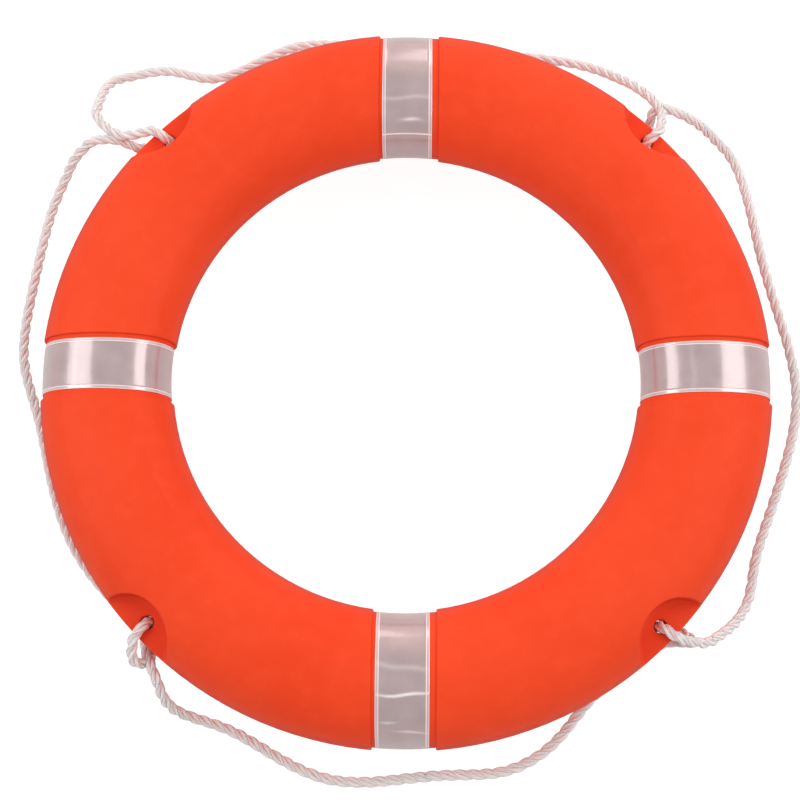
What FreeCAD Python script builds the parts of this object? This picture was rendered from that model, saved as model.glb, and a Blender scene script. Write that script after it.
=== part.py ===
import FreeCAD, Part
import math
import os
import Sketcher
from FreeCAD import Placement, Rotation, Vector

# Ring lifebuoy: a foam-filled plastic ring lying on its back, with four tapes and a grab line.
# Millimetres. The origin is the ring's centre at mid-thickness, +Z is the ring's axis and
# points out of the front face, +Y is the top of the ring.

doc = FreeCAD.newDocument("ring_lifebuoy")

SIZES = [
    ("outer_diameter", 720, "over the ring, without the grab line"),
    ("inner_diameter", 460, "of the hole through the ring"),
    ("thickness", 100, "front face to back face"),
    ("side_radius", 46.4, "of the oval section at its inner and outer side"),
    ("wall", 2.5, "of the moulded shell"),
    ("pocket_radius", 43, "of a rope pocket, seen from the front"),
    ("pocket_centre", 369, "ring axis to the pocket's own axis"),
    ("pocket_floor_round", 6, "between a pocket's wall and its web"),
    ("rim_round", 1.6, "of a pocket's rim"),
    ("web_thickness", 16, "of the web between the front and back pocket"),
    ("hole_diameter", 12.6, "rope hole in a web"),
    ("hole_centre", 343.7, "ring axis to a rope hole"),
    ("hole_round", 2, "of a rope hole's edges"),
    ("channel_width", 60, "of a tape channel"),
    ("channel_depth", 2.5, "of a tape channel"),
    ("channel_round", 1.2, "of a tape channel's edges"),
    ("tape_width", 50, "of a reflective tape"),
    ("tape_thickness", 0.4, "of a reflective tape"),
    ("tape_gap", 0.1, "glue line between a tape and its channel"),
    ("core_gap", 0.2, "between the shell and the foam core"),
    ("port_diameter", 20, "of the filling hole in the back"),
    ("port_seat_diameter", 28, "of the recess for the plug's head"),
    ("port_boss_diameter", 36, "of the thick wall round the filling hole"),
    ("port_boss_depth", 7, "of the thick wall, from the back face"),
    ("plug_head", 2, "thickness of the plug's head"),
    ("plug_gap", 0.2, "between the plug and its hole"),
    ("plug_sunk", 0.8, "plug's head below the back face"),
    ("rope_diameter", 10, "of the grab line"),
    ("rope_centre", 343, "ring axis to the grab line's middle in a rope hole"),
    ("rope_bend_radius", 9.5, "of the grab line round a rope hole's edge"),
    ("rope_lift", 0.5, "between the web and the grab line that leaves a rope hole"),
    ("end_step", 0.02, "between the grab line's radius and its rounded ends' radius"),
    ("pivot_gap", 0.8, "between an eye and the loop that swings on it"),
]

sheet = doc.addObject("Spreadsheet::Sheet", "Sizes")
for row, (alias, value, meaning) in enumerate(SIZES, start=1):
    sheet.set(f"A{row}", alias)
    sheet.set(f"B{row}", str(value))
    sheet.set(f"C{row}", meaning)
    sheet.setAlias(f"B{row}", alias)
doc.recompute()


def size(alias):
    """A driving dimension's value, in millimetres."""
    return float(sheet.get(alias))


HALF_WIDTH = "((Sizes.outer_diameter - Sizes.inner_diameter) / 4)"
HALF_DEPTH = "(Sizes.thickness / 2)"
# the front and back arcs are tangent to the side arcs, which fixes their radius
CROWN_RADIUS = (
    f"(({HALF_WIDTH}^2 + {HALF_DEPTH}^2 - 2 * {HALF_WIDTH} * Sizes.side_radius)"
    f" / (2 * ({HALF_DEPTH} - Sizes.side_radius)))"
)
MEAN_RADIUS = (size("outer_diameter") + size("inner_diameter")) / 4
POCKET_AZIMUTHS = [45, 135, 225, 315]
# each tape channel: azimuth, shift of its middle towards azimuth + 90
CHANNELS = [(0, 0), (90, -1.3), (180, 0), (270, 1.3)]
PORT_AZIMUTH = 67.5


# ---------------------------------------------------------------- small helpers

def bind(thing, **expressions):
    """Binds properties to expressions over the sheet; a double underscore stands for a dot."""
    for name, expression in expressions.items():
        thing.setExpression(name.replace("__", "."), str(expression))
    return thing


def cut(name, base, tool):
    result = doc.addObject("Part::Cut", name)
    result.Base = base
    result.Tool = tool
    return result


def common(name, base, tool):
    result = doc.addObject("Part::Common", name)
    result.Base = base
    result.Tool = tool
    return result


def fuse(name, pieces):
    result = doc.addObject("Part::MultiFuse", name)
    result.Shapes = pieces
    return result


def cylinder(name, radius, height, azimuth, distance, bottom):
    """An upright cylinder whose axis stands at a distance and azimuth from the ring's axis."""
    piece = doc.addObject("Part::Cylinder", name)
    return bind(
        piece,
        Radius=radius,
        Height=height,
        Placement__Base__x=f"({distance}) * cos({azimuth} deg)",
        Placement__Base__y=f"({distance}) * sin({azimuth} deg)",
        Placement__Base__z=bottom,
    )


def round_edges(name, base, radius, wanted):
    """Rounds the edges of base that wanted() picks."""
    doc.recompute()
    edges = [
        (number, radius, radius)
        for number, edge in enumerate(base.Shape.Edges, start=1)
        if wanted(base.Shape, edge)
    ]
    result = doc.addObject("Part::Fillet", name)
    result.Base = base
    result.Edges = edges
    return result


# ---------------------------------------------------------------- the ring's section

def oval_ring(name, inset):
    """A full ring: the section's oval of four tangent arcs, inset all round, turned about Z."""
    body = doc.addObject("PartDesign::Body", name)
    sketch = body.newObject("Sketcher::SketchObject", name + "_section")
    plane = next(f for f in body.Origin.OriginFeatures if f.Role == "XZ_Plane")
    sketch.AttachmentSupport = [(plane, "")]
    sketch.MapMode = "FlatFace"

    half_width = (size("outer_diameter") - size("inner_diameter")) / 4
    half_depth = size("thickness") / 2
    side = size("side_radius")
    reach = half_width - side
    crown = (half_width**2 + half_depth**2 - 2 * half_width * side) / (2 * (half_depth - side))
    drop = crown - half_depth
    joint = math.atan2(drop, reach)

    def arc(x, y, radius, start, end):
        circle = Part.Circle(Vector(x, y, 0), Vector(0, 0, 1), radius)
        sketch.addGeometry(Part.ArcOfCircle(circle, start, end))

    arc(MEAN_RADIUS + reach, 0, side, -joint, joint)
    arc(MEAN_RADIUS, -drop, crown, joint, math.pi - joint)
    arc(MEAN_RADIUS - reach, 0, side, math.pi - joint, math.pi + joint)
    arc(MEAN_RADIUS, drop, crown, math.pi + joint, 2 * math.pi - joint)

    outer_side, front, inner_side, back = range(4)
    start, end, centre = 1, 2, 3
    x_axis = -1
    for one, other in ((0, 1), (1, 2), (2, 3), (3, 0)):
        sketch.addConstraint(Sketcher.Constraint("Tangent", one, end, other, start))
    for arc_number in (outer_side, inner_side):
        sketch.addConstraint(Sketcher.Constraint("PointOnObject", arc_number, centre, x_axis))

    def dimension(label, constraint, expression):
        number = sketch.addConstraint(constraint)
        sketch.renameConstraint(number, label)
        sketch.setExpression("Constraints." + label, expression)

    origin = (x_axis, 1)
    dimension(
        "outer_centre",
        Sketcher.Constraint("DistanceX", *origin, outer_side, centre, MEAN_RADIUS + reach),
        "Sizes.outer_diameter / 2 - Sizes.side_radius",
    )
    dimension(
        "inner_centre",
        Sketcher.Constraint("DistanceX", *origin, inner_side, centre, MEAN_RADIUS - reach),
        "Sizes.inner_diameter / 2 + Sizes.side_radius",
    )
    radii = (
        (outer_side, "outer_radius", side, "Sizes.side_radius"),
        (inner_side, "inner_radius", side, "Sizes.side_radius"),
        (front, "front_radius", crown, CROWN_RADIUS),
        (back, "back_radius", crown, CROWN_RADIUS),
    )
    for arc_number, label, radius, expression in radii:
        constraint = Sketcher.Constraint("Radius", arc_number, radius)
        dimension(label, constraint, f"{expression} - ({inset})")

    ring = body.newObject("PartDesign::Revolution", name + "_turned")
    ring.Profile = sketch
    ring.ReferenceAxis = (sketch, ["V_Axis"])
    ring.Angle = 360
    return body


def radial_bar(name, azimuth, width, shift="0"):
    """A bar as high as the ring that runs out from its axis over one channel."""
    bar = doc.addObject("Part::Box", name)
    bind(bar, Length="Sizes.outer_diameter", Width=width, Height="2 * Sizes.thickness")
    angle = math.radians(azimuth)
    sideways = f"(({shift}) - ({width}) / 2)"
    bar.Placement = Placement(Vector(), Rotation(Vector(0, 0, 1), azimuth))
    return bind(
        bar,
        Placement__Base__x=f"{-math.sin(angle):.6f} * {sideways}",
        Placement__Base__y=f"{math.cos(angle):.6f} * {sideways}",
        Placement__Base__z="-Sizes.thickness",
    )


def pocket_tools(name, azimuth, inset):
    """What one rope pocket takes out of the ring: front recess, back recess and rope hole."""
    radius = f"Sizes.pocket_radius + ({inset})"
    web = f"(Sizes.web_thickness / 2 - ({inset}))"
    depth = "Sizes.thickness"
    inset_value = float(doc.Sizes.evalExpression(inset)) if inset != "0" else 0.0
    floor_round = size("pocket_floor_round") + inset_value
    web_level = size("web_thickness") / 2 - inset_value

    def at_the_web(shape, edge):
        return isinstance(edge.Curve, Part.Circle) and abs(
            abs(edge.CenterOfMass.z) - web_level
        ) < 0.01

    front = cylinder(name + "_front", radius, depth, azimuth, "Sizes.pocket_centre", web)
    back = cylinder(
        name + "_back", radius, depth, azimuth, "Sizes.pocket_centre", f"-{web} - {depth}"
    )
    hole = cylinder(
        name + "_hole",
        f"Sizes.hole_diameter / 2 + ({inset})",
        "2 * Sizes.thickness",
        azimuth,
        "Sizes.hole_centre",
        "-Sizes.thickness",
    )
    return [
        round_edges(name + "_front_tool", front, floor_round, at_the_web),
        round_edges(name + "_back_tool", back, floor_round, at_the_web),
        hole,
    ]


def moulded_ring(name, inset):
    """The ring with its tape channels and rope pockets, with every surface inset."""
    skin = oval_ring(name + "_skin", inset)
    floor = oval_ring(name + "_channel_floor", f"{inset} + Sizes.channel_depth")
    width = f"Sizes.channel_width + 2 * ({inset})"
    bars = [radial_bar(f"{name}_bar_{a}", a, width, shift) for a, shift in CHANNELS]
    opened = cut(name + "_opened", skin, fuse(name + "_bars", bars))
    channelled = fuse(name + "_channelled", [opened, floor])
    tools = []
    for azimuth in POCKET_AZIMUTHS:
        tools += pocket_tools(f"{name}_pocket_{azimuth}", azimuth, inset)
    return cut(name + "_pocketed", channelled, fuse(name + "_pockets", tools))


# ---------------------------------------------------------------- edges to round

def on_the_skin(face):
    """Is this face turned about the ring's axis?"""
    surface = face.Surface
    return isinstance(surface, Part.Toroid) and surface.Center.projectToPlane(
        Vector(), Vector(0, 0, 1)
    ).Length < 0.01


def is_channel_side(face):
    surface = face.Surface
    return isinstance(surface, Part.Plane) and abs(surface.Axis.z) < 0.01


def is_pocket_rim(shape, edge):
    faces = shape.ancestorsOfType(edge, Part.Face)
    if len(faces) != 2 or any(is_channel_side(face) for face in faces):
        return False
    return on_the_skin(faces[0]) != on_the_skin(faces[1])


def is_channel_edge(shape, edge):
    """The outer of the two edges of a channel's side wall."""
    faces = shape.ancestorsOfType(edge, Part.Face)
    for face in faces:
        if is_channel_side(face):
            return any(edge.isSame(outer) for outer in face.OuterWire.Edges)
    return False


def is_hole_edge(shape, edge):
    return (
        isinstance(edge.Curve, Part.Circle)
        and abs(edge.Curve.Radius - size("hole_diameter") / 2) < 0.01
        and abs(abs(edge.CenterOfMass.z) - size("web_thickness") / 2) < 0.01
    )


# ---------------------------------------------------------------- shell, core and plug

def port_cylinder(name, diameter, top, bottom):
    """A cylinder on the filling port's axis, between two heights given as expressions."""
    return cylinder(
        name, f"({diameter}) / 2", f"({top}) - ({bottom})", PORT_AZIMUTH, MEAN_RADIUS, bottom
    )


BACK_FACE = "-Sizes.thickness / 2"
CLEARANCE = 5
BELOW_BACK = f"{BACK_FACE} - {CLEARANCE}"
BOSS_TOP = f"{BACK_FACE} + Sizes.port_boss_depth"
SEAT_TOP = f"{BACK_FACE} + Sizes.plug_sunk + Sizes.plug_head"


def make_shell():
    outside = moulded_ring("outside", "0")
    rimmed = round_edges("outside_rims", outside, size("rim_round"), is_pocket_rim)
    channelled = round_edges("outside_channels", rimmed, size("channel_round"), is_channel_edge)
    rounded = round_edges("outside_holes", channelled, size("hole_round"), is_hole_edge)
    boss = port_cylinder("cavity_boss", "Sizes.port_boss_diameter", BOSS_TOP, BELOW_BACK)
    cavity = cut("cavity", moulded_ring("cavity_ring", "Sizes.wall"), boss)
    hollow = cut("shell_hollow", rounded, cavity)
    port = port_cylinder("port_hole", "Sizes.port_diameter", f"{BOSS_TOP} + {CLEARANCE}", BELOW_BACK)
    seat = port_cylinder("port_seat", "Sizes.port_seat_diameter", SEAT_TOP, BELOW_BACK)
    return cut("shell", hollow, fuse("port_tools", [port, seat]))


def make_foam_core():
    boss = port_cylinder(
        "core_boss",
        "Sizes.port_boss_diameter + 2 * Sizes.core_gap",
        f"{BOSS_TOP} + Sizes.core_gap",
        BELOW_BACK,
    )
    return cut("foam_core", moulded_ring("core_ring", "Sizes.wall + Sizes.core_gap"), boss)


def make_filler_plug():
    head = port_cylinder(
        "plug_disc",
        "Sizes.port_seat_diameter - 2 * Sizes.plug_gap",
        f"{SEAT_TOP} - Sizes.plug_gap",
        f"{BACK_FACE} + Sizes.plug_sunk",
    )
    stem = port_cylinder(
        "plug_stem",
        "Sizes.port_diameter - 2 * Sizes.plug_gap",
        BOSS_TOP,
        f"{BACK_FACE} + Sizes.plug_sunk",
    )
    return fuse("filler_plug", [head, stem])


# ---------------------------------------------------------------- tapes

# each tape sits a little to one side of its channel: name, azimuth, shift towards azimuth + 90
TAPES = [
    ("reflective_tape_right", 0, 0.5),
    ("reflective_tape_top", 90, 0.3),
    ("reflective_tape_left", 180, -0.5),
    ("reflective_tape_bottom", 270, -0.1),
]


def make_tapes():
    """Four closed bands that follow the channel floors round the section."""
    inner = "Sizes.channel_depth - Sizes.tape_gap"
    tube = cut(
        "tape_tube",
        oval_ring("tape_outside", f"{inner} - Sizes.tape_thickness"),
        oval_ring("tape_inside", inner),
    )
    return [
        common(name, tube, radial_bar(name + "_bar", azimuth, "Sizes.tape_width", shift))
        for name, azimuth, shift in TAPES
    ]


# ---------------------------------------------------------------- grab line

# The line's centre, as points (azimuth in degrees, distance from the ring's axis, height).
# A loop's first and last points are its pivots.
LOOPS = {
    "grab_loop_bottom": [
        (-44, 368.5, -20.5), (-45.2, 361, -28.5), (-47.8, 355, -36.5), (-51.5, 352.5, -42),
        (-56, 354.5, -43), (-61, 362, -43), (-67, 379, -43), (-75, 390.5, -43),
        (-84, 384.5, -43), (-93, 389, -43), (-100, 393.5, -43), (-109, 385.5, -43),
        (-116, 381, -43), (-121, 387, -42), (-124.5, 390.5, -29), (-126.5, 386, -17),
        (-128, 379, -9),
    ],
    "grab_loop_left": [
        (-132.2, 359, -23), (-134.6, 354.5, -28), (-138.5, 355, -36), (-143.5, 361, -43),
        (-152, 368, -43), (-164, 369, -43), (-175, 375, -43), (-183, 391, -43),
        (-192, 398, -43), (-201, 407, -43), (-207.5, 417, -42.5), (-211.5, 419, -33),
        (-214, 417, -18), (-216.5, 410, -4),
    ],
    "grab_loop_top": [
        (139, 428, -5), (136.8, 440, -14), (134, 451, -29), (131.5, 449, -42),
        (127, 430, -43), (122, 395, -43), (117, 388, -43), (108, 391, -43), (98, 376, -43),
        (85, 369, -43), (73, 379, -43), (64, 394, -43), (60, 399, -40), (56.5, 396.5, -27),
        (53.5, 393, -13), (50.8, 389, -3),
    ],
    "grab_loop_right": [
        (44, 398, -3), (42, 405, -11), (39.5, 413, -27), (36.5, 419.5, -41), (31, 411, -43),
        (22, 393, -43), (16, 388, -43), (7, 391, -43), (-1.5, 395, -43), (-11, 389, -43),
        (-21, 384.5, -43), (-27.5, 389, -43), (-32.5, 399.5, -42), (-36, 399, -30),
        (-39, 393.5, -15), (-41, 389, -7),
    ],
}
LOWER_LEFT, UPPER_LEFT, UPPER_RIGHT, LOWER_RIGHT = -135, 135, 45, -45

# Each leg of an eye: its rope hole, the side it leaves on, the direction it leaves in, its
# points, and the pivot it ends at. At the lower right eye the line's two ends are tucked in.
EYES = {
    "rope_eye_lower_left": [
        (LOWER_LEFT, "front", -128,
         [(-134.6, 361, 13.7), (-133.9, 369, 9), (-133.1, 375.5, 4), (-132, 377.5, -1.5),
          (-131.4, 373.5, -7.5), (-131.3, 367, -14)], LOOPS["grab_loop_left"][0]),
        (LOWER_LEFT, "back", -112,
         [(-133.4, 361, -14), (-131.9, 367, -11), (-130.5, 370.5, -8), (-129.3, 374.5, -7)],
         LOOPS["grab_loop_bottom"][-1]),
    ],
    "rope_eye_upper_left": [
        (UPPER_LEFT, "back", 172,
         [(137.6, 362, -13.8), (139.1, 371, -9.5), (139.7, 380.5, -5), (140.5, 391, -3),
          (141.6, 401, -3)], LOOPS["grab_loop_left"][-1]),
        (UPPER_LEFT, "front", 150,
         [(135.8, 361, 13.7), (137, 369, 10), (138.2, 376, 6.5), (139.3, 384, 4),
          (139.8, 393, 2.5), (140, 403, 1.5), (139.8, 415, -0.5)], LOOPS["grab_loop_top"][0]),
    ],
    "rope_eye_upper_right": [
        (UPPER_RIGHT, "front", 40,
         [(44.8, 361, 13.7), (45.6, 370, 10), (46.6, 379, 4.5)], LOOPS["grab_loop_top"][-1]),
        (UPPER_RIGHT, "back", 65,
         [(46.3, 360.5, -14), (47.4, 369.5, -10.5), (48, 377, -4.5), (47.7, 384.5, 0),
          (46.2, 390.5, 1)], LOOPS["grab_loop_right"][0]),
    ],
    "rope_eye_lower_right": [
        (LOWER_RIGHT, "front", -38,
         [(-44.5, 361.5, 13.5), (-43.9, 369, 9), (-42.9, 378, 2)], LOOPS["grab_loop_right"][-1]),
        (LOWER_RIGHT, "back", -14,
         [(-43.1, 361.5, -14), (-42.8, 368, -10), (-43, 374, -3)], None),
        (None, None, None,
         [(-43.1, 376, 3), (-43.3, 375, -4), (-43.6, 371.5, -12)], LOOPS["grab_loop_bottom"][0]),
    ],
}


def at(azimuth, distance, height):
    angle = math.radians(azimuth)
    return Vector(distance * math.cos(angle), distance * math.sin(angle), height)


def smooth_curve(places, first_direction=None, last_direction=None):
    """The smooth curve through the places, with given directions at its ends."""
    curve = Part.BSplineCurve()
    if first_direction is None and last_direction is None:
        curve.interpolate(places)
        return curve
    first_direction = first_direction or places[1] - places[0]
    last_direction = last_direction or places[-1] - places[-2]
    curve.interpolate(
        Points=places,
        InitialTangent=first_direction.normalize(),
        FinalTangent=last_direction.normalize(),
        Scale=False,
    )
    return curve


LOOP_CURVES = {name: smooth_curve([at(*point) for point in points]) for name, points in LOOPS.items()}


def way_into_loop(pivot):
    """The direction in which the line runs on into the loop that hangs on this pivot."""
    for name, points in LOOPS.items():
        curve = LOOP_CURVES[name]
        if pivot == points[0]:
            return curve.tangent(curve.FirstParameter)[0]
        if pivot == points[-1]:
            return -curve.tangent(curve.LastParameter)[0]
    raise ValueError(f"no loop hangs on {pivot}")


def hole_edges(azimuth, side, heading):
    """From the middle of a rope hole up or down, then round its edge towards the heading."""
    up = 1 if side == "front" else -1
    hole = at(azimuth, size("rope_centre"), 0)
    bend = size("rope_bend_radius")
    straight = size("web_thickness") / 2 + size("rope_diameter") / 2 + size("rope_lift") - bend
    turn_start = hole + Vector(0, 0, up * straight)
    outward = at(heading, 1, 0)
    centre = turn_start + outward * bend
    middle = centre - (outward - Vector(0, 0, up)) * (bend / math.sqrt(2))
    turn_end = centre + Vector(0, 0, up * bend)
    arc = Part.Arc(turn_start, middle, turn_end).toShape()
    return [Part.makeLine(hole, turn_start), arc], turn_end, outward


def shortened(curve):
    """The curve's edge, ended short of the pivot so that the loop's ball end can turn there."""
    edge = curve.toShape()
    length = edge.Length - size("rope_diameter") / 2 - size("pivot_gap")
    return curve.toShape(edge.FirstParameter, edge.getParameterByLength(length))


def leg_edges(hole, side, heading, points, pivot):
    """One leg of an eye as a chain of edges, outwards from its hole."""
    places = [at(*point) for point in points]
    edges = []
    direction = None
    if hole is not None:
        edges, start, direction = hole_edges(hole, side, heading)
        places.insert(0, start)
    if pivot is None:
        return edges + [smooth_curve(places, direction).toShape()]
    places.append(at(*pivot))
    return edges + [shortened(smooth_curve(places, direction, way_into_loop(pivot)))]


def rope(name, edges):
    """A round rope swept along a chain of edges."""
    path = doc.addObject("Part::Feature", name + "_path")
    path.Shape = Part.Wire(edges)
    start = edges[0]
    profile = doc.addObject("Part::Circle", name + "_profile")
    bind(profile, Radius="Sizes.rope_diameter / 2")
    direction = start.tangentAt(start.FirstParameter)
    profile.Placement = Placement(
        start.valueAt(start.FirstParameter), Rotation(Vector(0, 0, 1), direction)
    )
    sweep = doc.addObject("Part::Sweep", name)
    sweep.Sections = [profile]
    sweep.Spine = (path, [f"Edge{number}" for number in range(1, len(edges) + 1)])
    sweep.Solid = True
    sweep.Frenet = False
    return sweep


def ball(name, edge, parameter):
    """A rounded rope end, a hair thinner than the rope so that the two meet cleanly."""
    end = doc.addObject("Part::Sphere", name)
    bind(end, Radius="Sizes.rope_diameter / 2 - Sizes.end_step")
    along = Rotation(Vector(0, 0, 1), edge.tangentAt(parameter))
    end.Placement = Placement(edge.valueAt(parameter), along)
    return end


def make_loop(name):
    """A loop with a ball at each end, centred on its pivot."""
    edge = LOOP_CURVES[name].toShape()
    start = ball(name + "_start", edge, edge.FirstParameter)
    end = ball(name + "_end", edge, edge.LastParameter)
    return fuse(name, [rope(name + "_rope", [edge]), start, end])


def make_eye(name):
    legs = [
        rope(f"{name}_leg_{number}", leg_edges(*leg))
        for number, leg in enumerate(EYES[name], start=1)
    ]
    return fuse(name, legs)


# ---------------------------------------------------------------- build, check, write

def check_document():
    failed = [
        thing.Label
        for thing in doc.Objects
        if "Invalid" in thing.State or "Error" in thing.State
    ]
    if failed:
        raise RuntimeError(f"these objects failed: {failed}")


def check_shape(part, solids):
    shape = part.Shape
    if shape.isNull() or not shape.isValid():
        raise RuntimeError(f"{part.Label} has no valid shape")
    if len(shape.Solids) != solids:
        raise RuntimeError(f"{part.Label} has {len(shape.Solids)} solids, not {solids}")


parts = [make_shell(), make_foam_core(), make_filler_plug()]
parts += make_tapes()
parts += [make_eye(name) for name in EYES]
parts += [make_loop(name) for name in LOOPS]
doc.recompute()
check_document()
os.makedirs("parts", exist_ok=True)
for part in parts:
    check_shape(part, 1)
for part in parts:
    part.Shape.exportStep(f"parts/{part.Label}.step")
    print(f"{part.Label:24s} {part.Shape.Volume / 1000:10.2f} cm3")
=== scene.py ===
"""Looks of the ring lifebuoy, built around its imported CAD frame.

Lengths are in millimetres until MM turns them to metres. Directions, bearings and tilts are given in
degrees, and every other angle is in radians.
"""

import math

import bpy
import numpy as np
from mathutils import Matrix, Vector


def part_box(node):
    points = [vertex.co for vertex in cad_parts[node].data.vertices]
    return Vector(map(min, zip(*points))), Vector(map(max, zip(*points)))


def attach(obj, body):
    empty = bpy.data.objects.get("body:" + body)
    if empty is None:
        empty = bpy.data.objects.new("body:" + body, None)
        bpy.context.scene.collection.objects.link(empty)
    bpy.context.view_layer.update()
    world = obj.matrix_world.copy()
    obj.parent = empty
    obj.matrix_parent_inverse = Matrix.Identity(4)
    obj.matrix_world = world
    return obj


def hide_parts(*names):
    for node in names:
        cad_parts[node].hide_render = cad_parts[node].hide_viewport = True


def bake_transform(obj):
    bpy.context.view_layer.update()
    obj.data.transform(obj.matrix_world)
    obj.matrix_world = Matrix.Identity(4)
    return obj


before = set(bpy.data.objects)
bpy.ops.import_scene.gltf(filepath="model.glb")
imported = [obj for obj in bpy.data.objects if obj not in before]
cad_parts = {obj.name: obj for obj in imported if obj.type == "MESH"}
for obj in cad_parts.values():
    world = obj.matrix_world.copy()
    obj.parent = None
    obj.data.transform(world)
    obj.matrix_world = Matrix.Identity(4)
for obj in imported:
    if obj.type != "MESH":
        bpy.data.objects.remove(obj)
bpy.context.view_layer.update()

MM = 0.001

# ---------------------------------------------------------------- sizes of the ring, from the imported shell
HALF_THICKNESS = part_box("shell")[1].z / MM
shell_radii = [v.co.xy.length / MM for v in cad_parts["shell"].data.vertices]
OUTER_RADIUS = max(shell_radii)
INNER_RADIUS = min(shell_radii)
MEAN_RADIUS = (OUTER_RADIUS + INNER_RADIUS) / 2
HALF_WIDTH = (OUTER_RADIUS - INNER_RADIUS) / 2

# the section is an oval of four arcs: two side arcs and two flatter crowns
SIDE_RADIUS = 46.4
SIDE_REACH = HALF_WIDTH - SIDE_RADIUS
CROWN_RADIUS = (
    (HALF_WIDTH**2 + HALF_THICKNESS**2 - 2 * HALF_WIDTH * SIDE_RADIUS)
    / (2 * (HALF_THICKNESS - SIDE_RADIUS))
)
CROWN_DROP = CROWN_RADIUS - HALF_THICKNESS
JOIN_ANGLE = math.atan2(CROWN_DROP, SIDE_REACH)
CROWN_ARC = (math.pi - 2 * JOIN_ANGLE) * CROWN_RADIUS
SIDE_ARC = 2 * JOIN_ANGLE * SIDE_RADIUS
SECTION_LENGTH = 2 * (CROWN_ARC + SIDE_ARC)

# ---------------------------------------------------------------- sizes of the tapes
TAPE_WIDTH = 50.0
TAPE_THICKNESS = 0.4
TAPE_SEAT = 2.4  # depth of the film's back below the ring's surface
TAPE_LAP = 22.0  # length of the outer end that lies on the inner end
LAP_RAMP = 5.0  # length over which it climbs there
LAP_GAP = 0.02  # glue between the two ends
BORDER = 3.0  # clear border, from the film's edge to the welded ridge
RIDGE_HEIGHT = 0.52  # of the ridge's top above the film's back
RIDGE_TOP = 0.2  # half widths of the ridge
RIDGE_FOOT = 0.5
EDGE_BEVEL = 0.1  # of the film's edges
EDGE_ROUND = 0.12
EDGE_FLAT = 1.2
EDGE_LINE = 0.5  # widths of the whitened lines along the edges and at the outer end
END_LINE = 1.2
FOLD_GLINT_HEIGHT = 0.35  # height at which a fold gets its full painted highlight
FOLD_WANDER = 0.7  # how far a fold strays from a straight line, and the length it does it over
FOLD_WAVE = 6.0
FILM_COLUMNS = 26
FILM_STEP = 1.1
FILM_EDGE_ANGLE = 50  # edges sharper than this, in degrees, stay sharp
RIPPLE = 0.03  # height of the film's faint waves, and their lengths along and across it
RIPPLE_WAVES = ((9, 13), (23, -31))

# ---------------------------------------------------------------- sizes of the rope
ROPE_CENTRE = 343.0  # ring axis to the rope's middle in a hole
HOLE_STRAIGHT = 4.0  # straight rope in a hole, from its middle to where the bend starts
BEND_RADIUS = 9.5
BEND_STEPS = 30
ROPE_RADIUS = 5.3
LAY = 39.0  # length of one full turn of a strand
STRANDS = 3
STRAND_RADIUS = ROPE_RADIUS / (1 + 2 / math.sqrt(3))
STRAND_OFFSET = ROPE_RADIUS - STRAND_RADIUS
STRAND_FILL = 0.995  # share of its room that a strand fills
STRAND_SIDES = 14
ROPE_STEP = 1.2
TURN_LENGTH = 14.0  # length of rope from a loop's end to the onward point that each half picks out
TURN_STEPS = int(TURN_LENGTH / ROPE_STEP)

# unevenness of the strands: size, length it changes over, and its shift from one strand to the next
STRAND_WANDERS = ((0.05, 17.0, 2.1), (0.04, 7.3, 1.0))
STRAND_SWELL = (0.015, 11.0, 3.0)

# height of the rope's middle where a loop lies beside the ring's back
LAID = -43

# points the rope passes through: direction from the ring's centre, distance from it, height
LOOPS = {
    "bottom": (
        (-44, 368.5, -20.5), (-45.2, 361, -28.5), (-47.8, 355, -36.5), (-51.5, 352.5, -42),
        (-56, 354.5, LAID), (-61, 362, LAID), (-67, 379, LAID), (-75, 390.5, LAID),
        (-84, 384.5, LAID), (-93, 389, LAID), (-100, 393.5, LAID), (-109, 385.5, LAID),
        (-116, 381, LAID), (-121, 387, -42), (-124.5, 390.5, -29), (-126.5, 386, -17),
        (-128, 379, -9),
    ),
    "left": (
        (-132.2, 359, -23), (-134.6, 354.5, -28), (-138.5, 355, -36), (-143.5, 361, LAID),
        (-152, 368, LAID), (-164, 369, LAID), (-175, 375, LAID), (-183, 391, LAID),
        (-192, 398, LAID), (-201, 407, LAID), (-207.5, 417, -42.5), (-211.5, 419, -33),
        (-214, 417, -18), (-216.5, 410, -4),
    ),
    "top": (
        (139, 428, -5), (136.8, 440, -14), (134, 451, -29), (131.5, 449, -42),
        (127, 430, LAID), (122, 395, LAID), (117, 388, LAID), (108, 391, LAID),
        (98, 376, LAID), (85, 369, LAID), (73, 379, LAID), (64, 394, LAID),
        (60, 399, -40), (56.5, 396.5, -27), (53.5, 393, -13), (50.8, 389, -3),
    ),
    "right": (
        (44, 398, -3), (42, 405, -11), (39.5, 413, -27), (36.5, 419.5, -41),
        (31, 411, LAID), (22, 393, LAID), (16, 388, LAID), (7, 391, LAID),
        (-1.5, 395, LAID), (-11, 389, LAID), (-21, 384.5, LAID), (-27.5, 389, LAID),
        (-32.5, 399.5, -42), (-36, 399, -30), (-39, 393.5, -15), (-41, 389, -7),
    ),
}

FRONT = 1
BACK = -1


class Leg:
    """A length of rope from the middle of a hole, round its edge on one side and out to a loop's end.

    hole and heading are directions in degrees: the hole's own, and the one the rope leaves it in.
    """

    def __init__(self, hole, side, heading, points):
        self.hole = hole
        self.side = side
        self.heading = heading
        self.points = points


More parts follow.
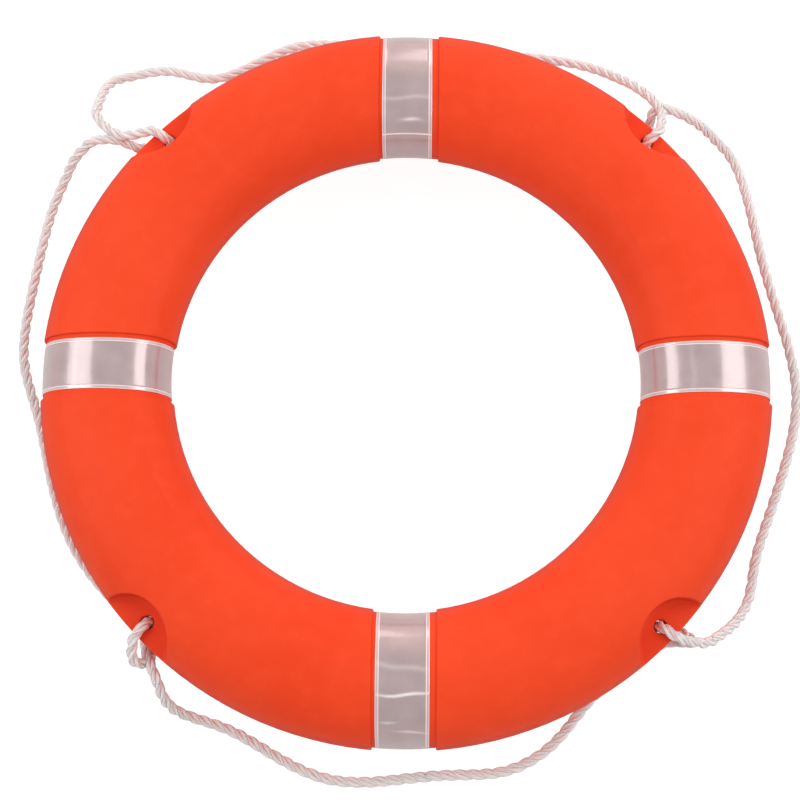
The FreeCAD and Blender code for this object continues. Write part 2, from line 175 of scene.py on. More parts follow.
# the leg the rope comes in by and the leg it goes out by, at each hole in turn
CROSSINGS = {
    "lower_left": (
        Leg(-135, BACK, -112, ((-133.4, 361, -14), (-131.9, 367, -11), (-130.5, 370.5, -8),
                               (-129.3, 374.5, -7))),
        Leg(-135, FRONT, -128, ((-134.6, 361, 13.7), (-133.9, 369, 9), (-133.1, 375.5, 4),
                                (-132, 377.5, -1.5), (-131.4, 373.5, -7.5), (-131.3, 367, -14))),
    ),
    "upper_left": (
        Leg(135, BACK, 172, ((137.6, 362, -13.8), (139.1, 371, -9.5), (139.7, 380.5, -5),
                             (140.5, 391, -3), (141.6, 401, -3))),
        Leg(135, FRONT, 150, ((135.8, 361, 13.7), (137, 369, 10), (138.2, 376, 6.5),
                              (139.3, 384, 4), (139.8, 393, 2.5), (140, 403, 1.5),
                              (139.8, 415, -0.5))),
    ),
    "upper_right": (
        Leg(45, FRONT, 40, ((44.8, 361, 13.7), (45.6, 370, 10), (46.6, 379, 4.5))),
        Leg(45, BACK, 65, ((46.3, 360.5, -14), (47.4, 369.5, -10.5), (48, 377, -4.5),
                           (47.7, 384.5, 0), (46.2, 390.5, 1))),
    ),
    "lower_right": (
        Leg(-45, FRONT, -38, ((-44.5, 361.5, 13.5), (-43.9, 369, 9), (-42.9, 378, 2))),
        Leg(-45, BACK, -14, ((-43.1, 361.5, -14), (-42.8, 368, -10), (-43, 374, -3))),
    ),
}
TUCKED_START = ((-43.1, 376, 3), (-43.3, 375, -4), (-43.6, 371.5, -12))


# ---------------------------------------------------------------- meshes
def make_mesh(name, points, faces, uvs=None):
    """A new smooth-shaded object; uvs holds one pair for each point."""
    mesh = bpy.data.meshes.new(name)
    mesh.from_pydata([tuple(p) for p in np.asarray(points) * MM], [], faces)
    mesh.polygons.foreach_set("use_smooth", [True] * len(mesh.polygons))
    if uvs is not None:
        layer = mesh.uv_layers.new(name="UVMap")
        corners = np.array([loop.vertex_index for loop in mesh.loops])
        layer.data.foreach_set("uv", np.asarray(uvs, float)[corners].ravel())
    mesh.update()
    made = bpy.data.objects.new(name, mesh)
    bpy.context.scene.collection.objects.link(made)
    return made


def tube_faces(rows, sides, first=0):
    """Faces of a closed tube of rows rings, with a flat cap at each end."""
    faces = []
    for i in range(rows - 1):
        for j in range(sides):
            k = (j + 1) % sides
            a = first + i * sides
            b = a + sides
            faces.append((a + j, a + k, b + k, b + j))
    last = first + (rows - 1) * sides
    faces.append(tuple(first + j for j in reversed(range(sides))))
    faces.append(tuple(last + j for j in range(sides)))
    return faces


# ---------------------------------------------------------------- the rope's centre line
def at(point):
    """The place of a point given as direction, distance from the ring's axis and height."""
    direction, distance, height = point
    turn = math.radians(direction)
    return np.array([distance * math.cos(turn), distance * math.sin(turn), height])


def spline(points, start=None, end=None, step=0.25):
    """Closely spaced points on a smooth cubic curve.

    start and end are its directions there, or None where it is free.
    """
    points = np.array(points, float)
    gaps = np.linalg.norm(np.diff(points, axis=0), axis=1)
    n = len(points)
    matrix = np.zeros((n, n))
    wanted = np.zeros((n, 3))
    slopes = np.diff(points, axis=0) / gaps[:, None]
    for i in range(1, n - 1):
        matrix[i, i - 1] = gaps[i]
        matrix[i, i] = 2 * (gaps[i - 1] + gaps[i])
        matrix[i, i + 1] = gaps[i - 1]
        wanted[i] = 3 * (gaps[i] * slopes[i - 1] + gaps[i - 1] * slopes[i])
    for row, beside, direction, slope in ((0, 1, start, slopes[0]), (n - 1, n - 2, end, slopes[-1])):
        if direction is None:
            matrix[row, row] = 2
            matrix[row, beside] = 1
            wanted[row] = 3 * slope
        else:
            matrix[row, row] = 1
            wanted[row] = direction
    tangents = np.linalg.solve(matrix, wanted)
    curve = []
    for i in range(n - 1):
        t = np.linspace(0, 1, max(int(gaps[i] / step), 2), endpoint=False)[:, None]
        curve.append(
            (1 + 2 * t) * (1 - t) ** 2 * points[i]
            + t * (1 - t) ** 2 * gaps[i] * tangents[i]
            + t**2 * (3 - 2 * t) * points[i + 1]
            + t**2 * (t - 1) * gaps[i] * tangents[i + 1]
        )
    return np.vstack(curve + [points[-1:]])


def unit(vector):
    """The vector at length one."""
    return vector / np.linalg.norm(vector)


def leg_line(leg, end_point=None, end_direction=None):
    """The centre line of a leg, from the middle of its hole outwards."""
    away = at((leg.heading, 1, 0))
    middle = at((leg.hole, ROPE_CENTRE, 0))
    up = np.array([0, 0, leg.side])
    centre = middle + up * HOLE_STRAIGHT + away * BEND_RADIUS
    turns = np.linspace(0, math.pi / 2, BEND_STEPS)
    bend = [centre + BEND_RADIUS * (up * math.sin(t) - away * math.cos(t)) for t in turns]
    rest = [at(p) for p in leg.points]
    if end_point is not None:
        rest.append(end_point)
    out = spline([bend[-1]] + rest, start=away, end=end_direction)
    return np.vstack([[middle], bend[:-1], out])


def rope_line():
    """The whole rope as one centre line, and where each named stretch of it starts and ends."""
    lines = {name: spline([at(p) for p in points]) for name, points in LOOPS.items()}
    order = ("bottom", "lower_left", "left", "upper_left", "top", "upper_right", "right", "lower_right")
    first = lines["bottom"]
    start = spline([at(p) for p in TUCKED_START] + [first[0]], end=unit(first[1] - first[0]))
    parts = [("lower_right_start", start)]
    for i, name in enumerate(order):
        if name in LOOPS:
            parts.append((name, lines[name]))
            continue
        coming, going = CROSSINGS[name]
        before = lines[order[i - 1]]
        way_in = leg_line(coming, before[-1], unit(before[-2] - before[-1]))
        if i + 1 < len(order):
            after = lines[order[i + 1]]
            way_out = leg_line(going, after[0], unit(after[1] - after[0]))
        else:
            way_out = leg_line(going)
        parts.append((name, np.vstack([way_in[::-1], way_out[1:]])))
    whole = [parts[0][1]]
    spans = {parts[0][0]: (0, len(parts[0][1]) - 1)}
    for name, line in parts[1:]:
        begin = sum(len(part) for part in whole) - 1
        whole.append(line[1:])
        spans[name] = (begin, begin + len(line) - 1)
    return np.vstack(whole), spans


def even_line(line, spans):
    """The same line in even steps, with the stretches given as lengths along it."""
    lengths = np.concatenate([[0], np.cumsum(np.linalg.norm(np.diff(line, axis=0), axis=1))])
    stretches = {name: (lengths[a], lengths[b]) for name, (a, b) in spans.items()}
    count = int(lengths[-1] / ROPE_STEP)
    along = np.linspace(0, lengths[-1], count + 1)
    points = np.stack([np.interp(along, lengths, line[:, k]) for k in range(3)], axis=1)
    return along, points, stretches


def carried_frames(points):
    """Two directions square to the line at each point, carried along it without twisting."""
    tangents = np.gradient(points, axis=0)
    tangents /= np.linalg.norm(tangents, axis=1)[:, None]
    side = unit(np.cross(tangents[0], [0, 0, 1.0]))
    sides = [side]
    for tangent in tangents[1:]:
        side = unit(side - tangent * (side @ tangent))
        sides.append(side)
    sides = np.array(sides)
    return sides, np.cross(tangents, sides)


def strand_rings(along, points, number):
    """Rings of points round one strand of the rope, and their texture coordinates."""
    sides, others = carried_frames(points)
    wander = sum(size * np.sin(along / reach + shift * number) for size, reach, shift in STRAND_WANDERS)
    turn = 2 * math.pi * (along / LAY + number / STRANDS) + wander
    radial = sides * np.cos(turn)[:, None] + others * np.sin(turn)[:, None]
    centre = points + radial * STRAND_OFFSET
    tangent = np.gradient(centre, axis=0)
    tangent /= np.linalg.norm(tangent, axis=1)[:, None]
    out = radial - tangent * np.sum(radial * tangent, axis=1)[:, None]
    out /= np.linalg.norm(out, axis=1)[:, None]
    across = np.cross(tangent, out)
    size, reach, shift = STRAND_SWELL
    swell = STRAND_RADIUS * (STRAND_FILL + size * np.sin(along / reach + shift * number))
    rings, uvs = [], []
    for side in range(STRAND_SIDES):
        angle = 2 * math.pi * side / STRAND_SIDES
        rings.append(centre + (out * math.cos(angle) + across * math.sin(angle)) * swell[:, None])
        share = np.full(len(along), side / STRAND_SIDES)
        uvs.append(np.stack([share, along / LAY], axis=1))
    return np.stack(rings, axis=1), np.stack(uvs, axis=1)


def rope_piece(name, strands, begin, end):
    """One length of the rope, from step begin to step end, as three closed strands."""
    rows = end - begin + 1
    points, faces, uvs = [], [], []
    for number, (rings, coordinates) in enumerate(strands):
        faces += tube_faces(rows, STRAND_SIDES, first=number * rows * STRAND_SIDES)
        points.append(rings[begin:end + 1].reshape(-1, 3))
        uvs.append(coordinates[begin:end + 1].reshape(-1, 2))
    made = make_mesh(name, np.vstack(points), faces, np.vstack(uvs))
    made.data.materials.append(rope_material())
    return made


def make_rope():
    """The rope at the holes rides on the ring; each loop is made as two halves."""
    line, spans = rope_line()
    along, points, stretches = even_line(line, spans)
    strands = [strand_rings(along, points, k) for k in range(STRANDS)]

    def step_at(length):
        return int(np.argmin(abs(along - length)))

    for name, (begin, end) in stretches.items():
        if name in LOOPS:
            continue
        piece = rope_piece("rope_at_" + name, strands, step_at(begin), step_at(end))
        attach(piece, "ring")
        if name in CROSSINGS:
            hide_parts("rope_eye_" + name)
    for name in LOOPS:
        begin, end = (step_at(length) for length in stretches[name])
        middle = (begin + end) // 2
        for half, a, b, pivot, onward in (
            ("first", begin, middle, points[begin], points[begin + TURN_STEPS]),
            ("second", middle, end, points[end], points[end - TURN_STEPS]),
        ):
            piece = rope_piece("rope_" + name + "_" + half, strands, a, b)
            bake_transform(piece)
            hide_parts("grab_loop_" + name)


# ---------------------------------------------------------------- the reflective tapes
def section_point(distance, inset):
    """Distance from the ring's axis and height of a point on the ring's section.

    distance runs round the section from the front crown towards the ring's middle, and inset is the
    depth below the surface.
    """
    run = distance % SECTION_LENGTH
    if run > SECTION_LENGTH / 2:
        inner_radius, height = section_point(SECTION_LENGTH - run, inset)
        return 2 * MEAN_RADIUS - inner_radius, height
    front_end = CROWN_ARC / 2
    side_end = front_end + SIDE_ARC
    if run <= front_end:
        angle = math.pi / 2 + run / CROWN_RADIUS
        centre = (0, -CROWN_DROP)
        radius = CROWN_RADIUS
    elif run <= side_end:
        angle = math.pi - JOIN_ANGLE + (run - front_end) / SIDE_RADIUS
        centre = (-SIDE_REACH, 0)
        radius = SIDE_RADIUS
    else:
        angle = math.pi + JOIN_ANGLE + (run - side_end) / CROWN_RADIUS
        centre = (0, CROWN_DROP)
        radius = CROWN_RADIUS
    return (
        MEAN_RADIUS + centre[0] + (radius - inset) * math.cos(angle),
        centre[1] + (radius - inset) * math.sin(angle),
    )


def smooth_step(value, low, high):
    """0 up to low, 1 from high on, and a soft climb between them."""
    share = min(max((value - low) / (high - low), 0), 1)
    return share * share * (3 - 2 * share)


class Crease:
    """A raised fold in the film.

    distance is its place along the film, slant how far it leans there for each millimetre across,
    height and spread its own height and half width, and middle and reach the part of the film's
    width that it covers.
    """

    def __init__(self, distance, slant, height, spread, middle=0.0, reach=60.0):
        self.distance = distance
        self.slant = slant
        self.height = height
        self.spread = spread
        self.middle = middle
        self.reach = reach

    def lift(self, distance, across):
        """The fold's height at a place along and across the film."""
        line = self.distance + self.slant * across + FOLD_WANDER * math.sin(across / FOLD_WAVE)
        fade = math.exp(-((across - self.middle) / self.reach) ** 2)
        return self.height * fade * math.exp(-((distance - line) / self.spread) ** 2)


def film_profile():
    """The film's outline across its width: (position across, height above its back)."""
    half = TAPE_WIDTH / 2
    ridge = half - BORDER
    inner = ridge - RIDGE_FOOT
    left = [
        (-half, EDGE_BEVEL),
        (-half, TAPE_THICKNESS - EDGE_BEVEL),
        (-half + EDGE_ROUND, TAPE_THICKNESS),
        (-half + EDGE_FLAT, TAPE_THICKNESS),
        (-ridge - RIDGE_FOOT, TAPE_THICKNESS),
        (-ridge - RIDGE_TOP, RIDGE_HEIGHT),
        (-ridge + RIDGE_TOP, RIDGE_HEIGHT),
        (-inner, TAPE_THICKNESS),
    ]
    columns = range(1, FILM_COLUMNS)
    middle = [(-inner + 2 * inner * i / FILM_COLUMNS, TAPE_THICKNESS) for i in columns]
    right = [(-across, height) for across, height in reversed(left)]
    back = [(half - EDGE_BEVEL, 0.0), (0.0, 0.0), (-half + EDGE_BEVEL, 0.0)]
    return left + middle + right + back


def make_tape(side, azimuth, lap_end, creases):
    """A film band wrapped once round the ring in its channel, its outer end lapping over its inner one.

    azimuth is the channel's direction, and lap_end the outer end's place round the section.
    """
    low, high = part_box("reflective_tape_" + side)
    centre = (low + high) / 2 / MM
    turn = math.radians(azimuth)
    shift = -centre.x * math.sin(turn) + centre.y * math.cos(turn)
    profile = film_profile()
    length = SECTION_LENGTH + TAPE_LAP
    count = int(length / FILM_STEP)
    points, uvs, fold_glint_and_end_line = [], [], []
    for i in range(count + 1):
        distance = lap_end - length + length * i / count
        onto = smooth_step(distance, lap_end - TAPE_LAP - LAP_RAMP, lap_end - TAPE_LAP)
        end_line = 1.0 if lap_end - distance < END_LINE else 0.0
        for across, height in profile:
            lift = onto * (TAPE_THICKNESS + LAP_GAP) + height
            folds = 0.0
            if height > TAPE_THICKNESS / 2:
                around = distance % SECTION_LENGTH
                if around > SECTION_LENGTH / 2:
                    around -= SECTION_LENGTH
                folds = sum(crease.lift(around, across) for crease in creases)
                lift += folds
                lift += RIPPLE * math.prod(math.sin(distance / a + across / b) for a, b in RIPPLE_WAVES)
            radius, z = section_point(distance, TAPE_SEAT - lift)
            y = across + shift
            x = math.sqrt(radius**2 - y**2)
            points.append((
                x * math.cos(turn) - y * math.sin(turn),
                x * math.sin(turn) + y * math.cos(turn),
                z,
            ))
            uvs.append((across * MM, distance * MM))
            # painted highlight along the folds, stronger the higher a fold stands, and the whitened line at
            # the outer end
            fold_glint_and_end_line.append(max(min(folds / FOLD_GLINT_HEIGHT, 1.0), end_line))
    made = make_mesh("reflective_film_" + side, points, tube_faces(count + 1, len(profile)), uvs)
    fold_glint_and_end_layer = made.data.attributes.new("fold_glint_and_end_line", "FLOAT", "POINT")
    fold_glint_and_end_layer.data.foreach_set("value", np.array(fold_glint_and_end_line, np.float32))
    made.data.set_sharp_from_angle(angle=math.radians(FILM_EDGE_ANGLE))
    made.data.materials.append(film_material())
    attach(made, "ring")
    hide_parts("reflective_tape_" + side)


def make_tapes():
    """The four films, with the folds and faint waves of each."""
    make_tape("right", 0, 150.0, [Crease(20, 0.02, 0.05, 3)])
    make_tape("top", 90, 58.6, [
        Crease(42.5, -0.03, 0.30, 1.7, middle=-4, reach=9),
        Crease(20, 0.05, 0.10, 2.0),
    ])
    make_tape("left", 180, 160.0, [Crease(-24, -0.03, 0.05, 3)])
    make_tape("bottom", 270, 142.0, [
        Crease(-14.5, 0.06, 0.55, 1.2, middle=2, reach=24),
        Crease(11, -0.1, 0.10, 2.5),
        Crease(-39.5, 0.1, 0.22, 1.1, middle=-13, reach=7),
        Crease(-50.5, -0.12, 0.26, 1.1, middle=9, reach=13),
    ])


# ---------------------------------------------------------------- materials
ORANGE_DEEP = (0.88, 0.062, 0.014, 1)
ORANGE = (0.93, 0.075, 0.019, 1)
ORANGE_LIGHT = (1.0, 0.095, 0.030, 1)
ORANGE_SCUFFED = (1.0, 0.28, 0.17, 1)
# painted shade colour for the orange where it is seen edge-on
ORANGE_PAINTED_RIM_SHADE = (0.60, 0.030, 0.008, 1)
SPECK_COLOUR = (0.45, 0.03, 0.015, 1)
PLUG_DEEP = (0.80, 0.060, 0.018, 1)
PLUG_LIGHT = (0.88, 0.075, 0.024, 1)
FOAM_LIGHT = (0.80, 0.74, 0.58, 1)
FOAM_DEEP = (0.60, 0.50, 0.33, 1)
FILM_SILVER = (0.53, 0.42, 0.415, 1)
FILM_HAZE = (0.60, 0.49, 0.485, 1)
FILM_CELLS = (0.38, 0.34, 0.34, 1)
FILM_BORDER = (0.72, 0.60, 0.59, 1)
FILM_WHITE = (0.95, 0.90, 0.88, 1)
ROPE_CREAM = (0.97, 0.93, 0.90, 1)
ROPE_WHITE = (0.99, 0.97, 0.95, 1)
# painted shade colour for the grooves between the yarns
ROPE_PAINTED_GROOVE_SHADE = (0.86, 0.76, 0.70, 1)
ROPE_THREAD = (0.98, 0.97, 0.95, 1)
WHITE = (1, 1, 1, 1)

RIDGE_WHITE = 0.28  # half width of the ridge's fully whitened part
LINE_FADE = 0.2
BORDER_FADE = 0.3
YARNS = 9  # yarns round one strand


def add(tree, kind, inputs=None, **settings):
    """A new shader node with its settings and its inputs, each a value or another node's output."""
    made = tree.nodes.new("ShaderNode" + kind)
    for name, value in settings.items():
        setattr(made, name, value)
    for name, value in (inputs or {}).items():
        if isinstance(value, bpy.types.NodeSocket):
            tree.links.new(value, made.inputs[name])
        else:
            made.inputs[name].default_value = value
    return made


def new_material(name):
    """An empty node material and its tree, or None for the tree if the material is there already."""
    if name in bpy.data.materials:
        return bpy.data.materials[name], None
    material = bpy.data.materials.new(name)
    material.use_nodes = True
    material.node_tree.nodes.clear()
    return material, material.node_tree


def finish_material(tree, inputs):
    """Ends the tree with one surface shader."""
    surface = add(tree, "BsdfPrincipled", inputs)
    add(tree, "OutputMaterial", {"Surface": surface.outputs[0]})


def noise(tree, where, scale, detail=4.0, rough=0.55):
    """Soft random values; scale is the number of blotches to one unit of where, which is mostly a metre."""
    return add(tree, "TexNoise", {
        "Vector": where, "Scale": scale, "Detail": detail, "Roughness": rough,
    }).outputs[0]


def between(tree, value, low, high, to_low=0.0, to_high=1.0):
    """value moved from the span low to high onto the span to_low to to_high, and held within it."""
    return add(tree, "MapRange", {
        "Value": value, "From Min": low, "From Max": high, "To Min": to_low, "To Max": to_high,
    }).outputs[0]


def plug_in(tree, sockets, values):
    """Gives each socket its value, or links it to another node's output."""
    for socket, value in zip(sockets, values):
        if isinstance(value, bpy.types.NodeSocket):
            tree.links.new(value, socket)
        else:
            socket.default_value = value


def maths(tree, operation, *values):
    """The result of one sum or function, such as ADD, MAXIMUM or SINE."""
    made = add(tree, "Math", operation=operation)
    plug_in(tree, made.inputs, values)
    return made.outputs[0]


def mix(tree, share, first, second):
    """Two colours mixed: share 0 gives the first and 1 the second."""
    made = add(tree, "Mix", data_type="RGBA")
    plug_in(tree, (made.inputs[0], made.inputs[6], made.inputs[7]), (share, first, second))
    return made.outputs[2]


def bump(tree, height, distance, normal=None):
    """A relief, distance millimetres high, laid over another relief if there is one."""
    inputs = {"Height": height, "Distance": distance * MM, "Strength": 1.0}
    if normal is not None:
        inputs["Normal"] = normal
    return add(tree, "Bump", inputs).outputs[0]


def plastic_material():
    """Satin moulded polyethylene: faint mottling, an eggshell surface, light scuffs, a few specks, and
    painted shade that darkens it where it is seen edge-on.
    """
    material, tree = new_material("orange_polyethylene")
    if tree is None:
        return material
    place = add(tree, "TexCoord").outputs["Object"]
    clouds = noise(tree, place, scale=7)
    mottle = noise(tree, place, scale=60, detail=6)
    colour = mix(tree, between(tree, clouds, 0.35, 0.65), ORANGE_DEEP, ORANGE)
    colour = mix(tree, between(tree, mottle, 0.45, 0.75, 0, 0.35), colour, ORANGE_LIGHT)
    stretched = add(tree, "Mapping", {
        "Vector": place, "Scale": (1.0, 0.22, 1.0), "Rotation": (0, 0, 0.6),
    }).outputs[0]
    scuffs = between(tree, noise(tree, stretched, scale=260, detail=8, rough=0.7), 0.66, 0.74)
    colour = mix(tree, maths(tree, "MULTIPLY", scuffs, 0.22), colour, ORANGE_SCUFFED)
    speck_distance = add(tree, "TexVoronoi", {"Vector": place, "Scale": 55.0}).outputs["Distance"]
    specks = between(tree, speck_distance, 0.035, 0.022)
    colour = mix(tree, maths(tree, "MULTIPLY", specks, 0.3), colour, SPECK_COLOUR)
    # painted shade: the orange turns darker where the surface is seen edge-on, along the ring's outlines
    rim_shade_mask = add(tree, "LayerWeight", {"Blend": 0.5}).outputs["Facing"]
    colour = mix(tree, between(tree, rim_shade_mask, 0.55, 1.0, 0, 0.8), colour, ORANGE_PAINTED_RIM_SHADE)
    rough = between(tree, noise(tree, place, scale=120, detail=5), 0.3, 0.7, 0.46, 0.56)
    rough = maths(tree, "ADD", rough, maths(tree, "MULTIPLY", scuffs, 0.12))
    skin = bump(tree, noise(tree, place, scale=750, detail=3), 0.05)
    waves = bump(tree, noise(tree, place, scale=22, detail=2), 0.5, normal=skin)
    finish_material(tree, {
        "Base Color": colour, "Roughness": rough, "Normal": waves, "IOR": 1.5,
        "Specular IOR Level": 0.14, "Subsurface Weight": 0.10,
        "Subsurface Radius": (1.0, 0.25, 0.1), "Subsurface Scale": 0.002,
    })
    return material


def plug_material():
    """The filler plug: the same plastic turned smooth, a little darker and glossier."""
    material, tree = new_material("plug_plastic")
    if tree is None:
        return material
    place = add(tree, "TexCoord").outputs["Object"]
    tone = between(tree, noise(tree, place, scale=300), 0.3, 0.7)
    colour = mix(tree, tone, PLUG_DEEP, PLUG_LIGHT)
    rough = between(tree, noise(tree, place, scale=500), 0.3, 0.7, 0.30, 0.42)
    finish_material(tree, {
        "Base Color": colour, "Roughness": rough, "IOR": 1.5,
        "Normal": bump(tree, noise(tree, place, scale=1800), 0.02),
    })
    return material


def foam_material():
    """Pale rigid foam with small closed cells."""
    material, tree = new_material("buoyancy_foam")
    if tree is None:
        return material
    place = add(tree, "TexCoord").outputs["Object"]
    cells = add(tree, "TexVoronoi", {"Vector": place, "Scale": 700.0}).outputs["Distance"]
    colour = mix(tree, cells, FOAM_LIGHT, FOAM_DEEP)
    finish_material(tree, {
        "Base Color": colour, "Roughness": 0.85, "Normal": bump(tree, cells, 0.3),
        "Subsurface Weight": 0.2, "Subsurface Scale": 0.003,
    })
    return material


def film_material():
    """Silvery retroreflective film under a clear glossy face, with clear welded borders."""
    material, tree = new_material("reflective_film")
    if tree is None:
        return material
    texture = add(tree, "TexCoord").outputs["UV"]
    parts = add(tree, "SeparateXYZ", {"Vector": texture})
    across = maths(tree, "ABSOLUTE", parts.outputs[0])
    place = add(tree, "TexCoord").outputs["Object"]
    line_at = (TAPE_WIDTH / 2 - BORDER) * MM
    from_line = maths(tree, "ABSOLUTE", maths(tree, "SUBTRACT", across, line_at))
    line = between(tree, from_line, RIDGE_FOOT * MM, RIDGE_WHITE * MM)
    edge_at = TAPE_WIDTH / 2 - EDGE_LINE
    edge = between(tree, across, (edge_at - LINE_FADE) * MM, edge_at * MM, 0, 0.8)
    # painted highlight along the folds, and the whitened line at the outer end
    fold_glint_and_end_line = add(tree, "Attribute", attribute_name="fold_glint_and_end_line").outputs["Fac"]
    white = maths(tree, "MAXIMUM", maths(tree, "MAXIMUM", line, edge), fold_glint_and_end_line)
    border = between(tree, across, line_at, line_at + BORDER_FADE * MM)
    cells = add(tree, "TexVoronoi", {"Vector": texture, "Scale": 2600.0}).outputs["Distance"]
    haze = between(tree, noise(tree, place, scale=45, detail=5), 0.35, 0.7)
    colour = mix(tree, haze, FILM_SILVER, FILM_HAZE)
    colour = mix(tree, between(tree, cells, 0.0, 0.8, 0.0, 0.25), colour, FILM_CELLS)
    colour = mix(tree, border, colour, FILM_BORDER)
    colour = mix(tree, white, colour, FILM_WHITE)
    metal = maths(tree, "MULTIPLY", maths(tree, "SUBTRACT", 1.0, white), 0.25)
    rough = between(tree, haze, 0, 1, 0.16, 0.26)
    fine = bump(tree, cells, 0.01)
    gentle = bump(tree, noise(tree, place, scale=110, detail=2), 0.10, normal=fine)
    finish_material(tree, {
        "Base Color": colour, "Metallic": metal, "Roughness": rough, "Normal": gentle,
        "Coat Weight": 0.9, "Coat Roughness": 0.06, "Coat IOR": 1.5,
    })
    return material


def rope_material():
    """White laid rope: fine yarns along each strand, a soft sheen and painted shade in the grooves between
    the yarns.
    """
    material, tree = new_material("white_rope")
    if tree is None:
        return material
    coordinates = add(tree, "TexCoord")
    parts = add(tree, "SeparateXYZ", {"Vector": coordinates.outputs["UV"]})
    turns = maths(tree, "ADD", parts.outputs[0], parts.outputs[1])
    place = coordinates.outputs["Object"]
    stray = maths(tree, "MULTIPLY", noise(tree, place, scale=420, detail=3), 0.10)
    turns = maths(tree, "ADD", turns, stray)
    yarns = maths(tree, "SINE", maths(tree, "MULTIPLY", turns, 2 * math.pi * YARNS))
    fibres = add(tree, "CombineXYZ", {
        "X": maths(tree, "MULTIPLY", turns, 60.0),
        "Y": maths(tree, "MULTIPLY", parts.outputs[1], 9.0),
    }).outputs[0]
    threads = noise(tree, fibres, scale=1.0, detail=3)
    blotch = between(tree, noise(tree, place, scale=26, detail=4), 0.35, 0.7)
    colour = mix(tree, blotch, ROPE_CREAM, ROPE_WHITE)
    # painted shade in the grooves between the yarns
    colour = mix(tree, between(tree, yarns, -0.2, -1.0, 0, 0.30), colour, ROPE_PAINTED_GROOVE_SHADE)
    colour = mix(tree, between(tree, threads, 0.55, 0.8, 0, 0.5), colour, ROPE_THREAD)
    relief = bump(tree, yarns, 0.16)
    relief = bump(tree, threads, 0.12, normal=relief)
    finish_material(tree, {
        "Base Color": colour, "Roughness": between(tree, threads, 0.3, 0.7, 0.45, 0.7),
        "Normal": relief, "Sheen Weight": 0.5, "Sheen Roughness": 0.4,
        "Subsurface Weight": 0.5, "Subsurface Radius": (1.0, 0.8, 0.7), "Subsurface Scale": 0.002,
    })
    return material


def dress(node, material):
    """Gives a CAD node its material and smooth shading, and leaves its mesh as it is."""
    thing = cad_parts[node]
    thing.data.materials.clear()
    thing.data.materials.append(material)
    thing.data.polygons.foreach_set("use_smooth", [True] * len(thing.data.polygons))


# ---------------------------------------------------------------- stage, light and camera
FLOOR_HALF = 4000.0
FLOOR_DROP = 80.0  # from the ring's back to the floor
FLOOR_DEEP = (0.42, 0.42, 0.42, 1)
FLOOR_LIGHT = (0.46, 0.46, 0.46, 1)
FLOOR_GLOW = 0.34
FLOOR_GLOW_SEEN = 0.80

SOFTBOX_DISTANCE = 2.5  # the softboxes and the camera are in metres
SOFTBOX_TILT = 36
SOFTBOX_SIZE = (1.34, 1.9)
SOFTBOX_UP = 0.25  # how far above the ring's middle the side softboxes point

ROOM_DIM = (0.45, 0.445, 0.45, 1)
ROOM_BRIGHT = (1.15, 0.84, 0.83, 1)

CAMERA_PLACE = (0.0186, -0.3305, 1.4257)
CAMERA_ROLL = 0.5
CAMERA_LENS = 66.67
SENSOR_WIDTH = 36.0
CAMERA_SHIFT = (-0.0070, -0.0300)


def make_floor():
    """A plain pale floor, below the lowest swing of the loops, and clear when seen from below."""
    height = -HALF_THICKNESS - FLOOR_DROP
    signs = ((-1, -1), (1, -1), (1, 1), (-1, 1))
    corners = [(x * FLOOR_HALF, y * FLOOR_HALF, height) for x, y in signs]
    floor = make_mesh("floor", corners, [(0, 1, 2, 3)])
    material, tree = new_material("pale_floor")
    place = add(tree, "TexCoord").outputs["Object"]
    tone = mix(tree, noise(tree, place, scale=3), FLOOR_DEEP, FLOOR_LIGHT)
    seen = add(tree, "LightPath").outputs["Is Camera Ray"]
    surface = add(tree, "BsdfPrincipled", {
        "Base Color": tone, "Roughness": 0.9, "Specular IOR Level": 0.1,
        "Emission Color": WHITE,
        "Emission Strength": between(tree, seen, 0, 1, FLOOR_GLOW, FLOOR_GLOW_SEEN),
    })
    behind = add(tree, "NewGeometry").outputs["Backfacing"]
    clear = add(tree, "BsdfTransparent").outputs[0]
    one_sided = add(tree, "MixShader")
    plug_in(tree, one_sided.inputs, (behind, surface.outputs[0], clear))
    add(tree, "OutputMaterial", {"Surface": one_sided.outputs[0]})
    floor.data.materials.append(material)


def soft_light(name, target, tilt, bearing, distance, size, radiance):
    """A softbox facing target, tilt degrees from overhead towards the bearing.

    target, distance and size are in metres, and radiance is the brightness of its face.
    """
    lamp = bpy.data.lights.new(name, "AREA")
    lamp.shape = "RECTANGLE"
    lamp.size, lamp.size_y = size
    lamp.energy = radiance * math.pi * size[0] * size[1]
    box = bpy.data.objects.new(name, lamp)
    lean = math.radians(tilt)
    turn = math.radians(bearing)
    away = Vector((math.sin(lean) * math.cos(turn), math.sin(lean) * math.sin(turn), math.cos(lean)))
    sideways = Vector((0, 0, 1)).cross(away).normalized()
    axes = Matrix((away.cross(sideways), sideways, away)).transposed().to_4x4()
    box.matrix_world = Matrix.Translation(Vector(target) + away * distance) @ axes
    bpy.context.scene.collection.objects.link(box)


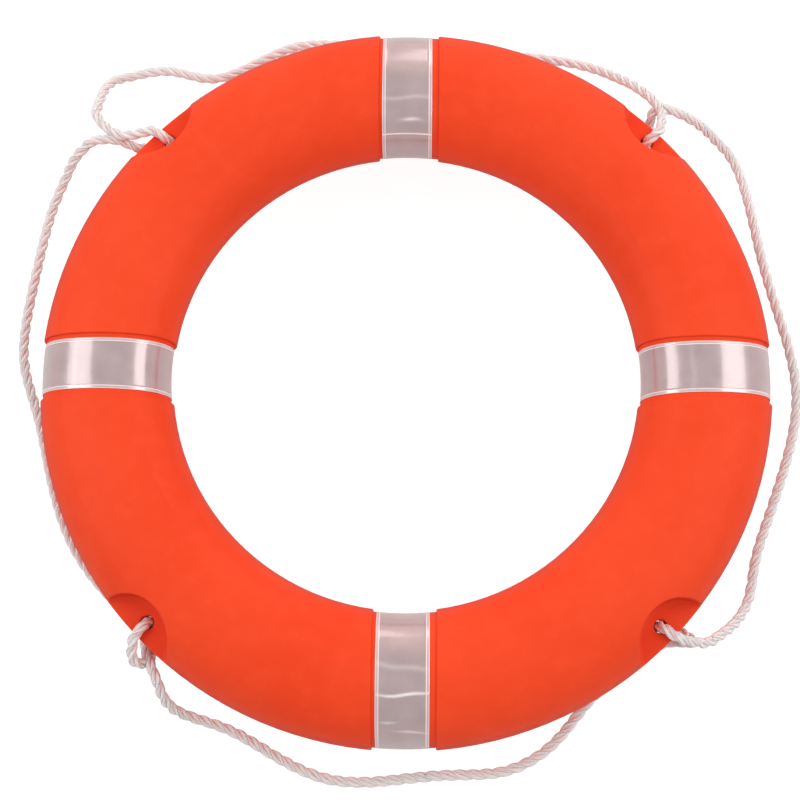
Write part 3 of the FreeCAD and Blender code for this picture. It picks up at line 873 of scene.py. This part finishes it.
def make_lights():
    """A softbox over each side of the ring and a weaker, lower one beyond its top."""
    front = HALF_THICKNESS * MM
    side = MEAN_RADIUS * MM
    for name, x, bearing, radiance in (("left_softbox", -side, 180, 2.7), ("right_softbox", side, 0, 2.9)):
        target = (x, SOFTBOX_UP, front)
        soft_light(name, target, SOFTBOX_TILT, bearing, SOFTBOX_DISTANCE, SOFTBOX_SIZE, radiance)
    soft_light("far_softbox", (0, 0, front), tilt=62, bearing=70, distance=3.0, size=(1.0, 2.0), radiance=1.6)


def make_world():
    """White to the camera; to everything else a room that is dim overhead and towards the viewer."""
    world = bpy.data.worlds.new("studio")
    world.use_nodes = True
    tree = world.node_tree
    tree.nodes.clear()
    direction = add(tree, "SeparateXYZ", {"Vector": add(tree, "TexCoord").outputs["Generated"]})
    far = between(tree, direction.outputs[1], 0.50, 0.72)
    low = between(tree, direction.outputs[2], 0.60, 0.25)
    lit = maths(tree, "MAXIMUM", far, maths(tree, "MULTIPLY", low, 0.5))
    room = mix(tree, lit, ROOM_DIM, ROOM_BRIGHT)
    seen = add(tree, "LightPath").outputs["Is Camera Ray"]
    colour = mix(tree, seen, room, WHITE)
    background = add(tree, "Background", {"Color": colour, "Strength": 1.0})
    add(tree, "OutputWorld", {"Surface": background.outputs[0]})
    bpy.context.scene.world = world


def make_camera():
    """Nearly straight above the ring's front, a little below its middle and turned half a degree."""
    lens = bpy.data.cameras.new("camera")
    lens.lens = CAMERA_LENS
    lens.sensor_width = SENSOR_WIDTH
    lens.shift_x, lens.shift_y = CAMERA_SHIFT
    camera = bpy.data.objects.new("camera", lens)
    place = Vector(CAMERA_PLACE)
    back = place.normalized()
    right = (-back).cross(Vector((0, 1, 0))).normalized()
    up = right.cross(-back)
    roll = math.radians(CAMERA_ROLL)
    x_axis = right * math.cos(roll) + up * math.sin(roll)
    y_axis = up * math.cos(roll) - right * math.sin(roll)
    turn = Matrix((x_axis, y_axis, back)).transposed().to_4x4()
    camera.matrix_world = Matrix.Translation(place) @ turn
    bpy.context.scene.collection.objects.link(camera)
    bpy.context.scene.camera = camera


# ---------------------------------------------------------------- the scene
dress("shell", plastic_material())
dress("filler_plug", plug_material())
dress("foam_core", foam_material())
make_tapes()
make_rope()
make_floor()
make_lights()
make_world()
make_camera()
bpy.context.scene.view_settings.view_transform = "Standard"
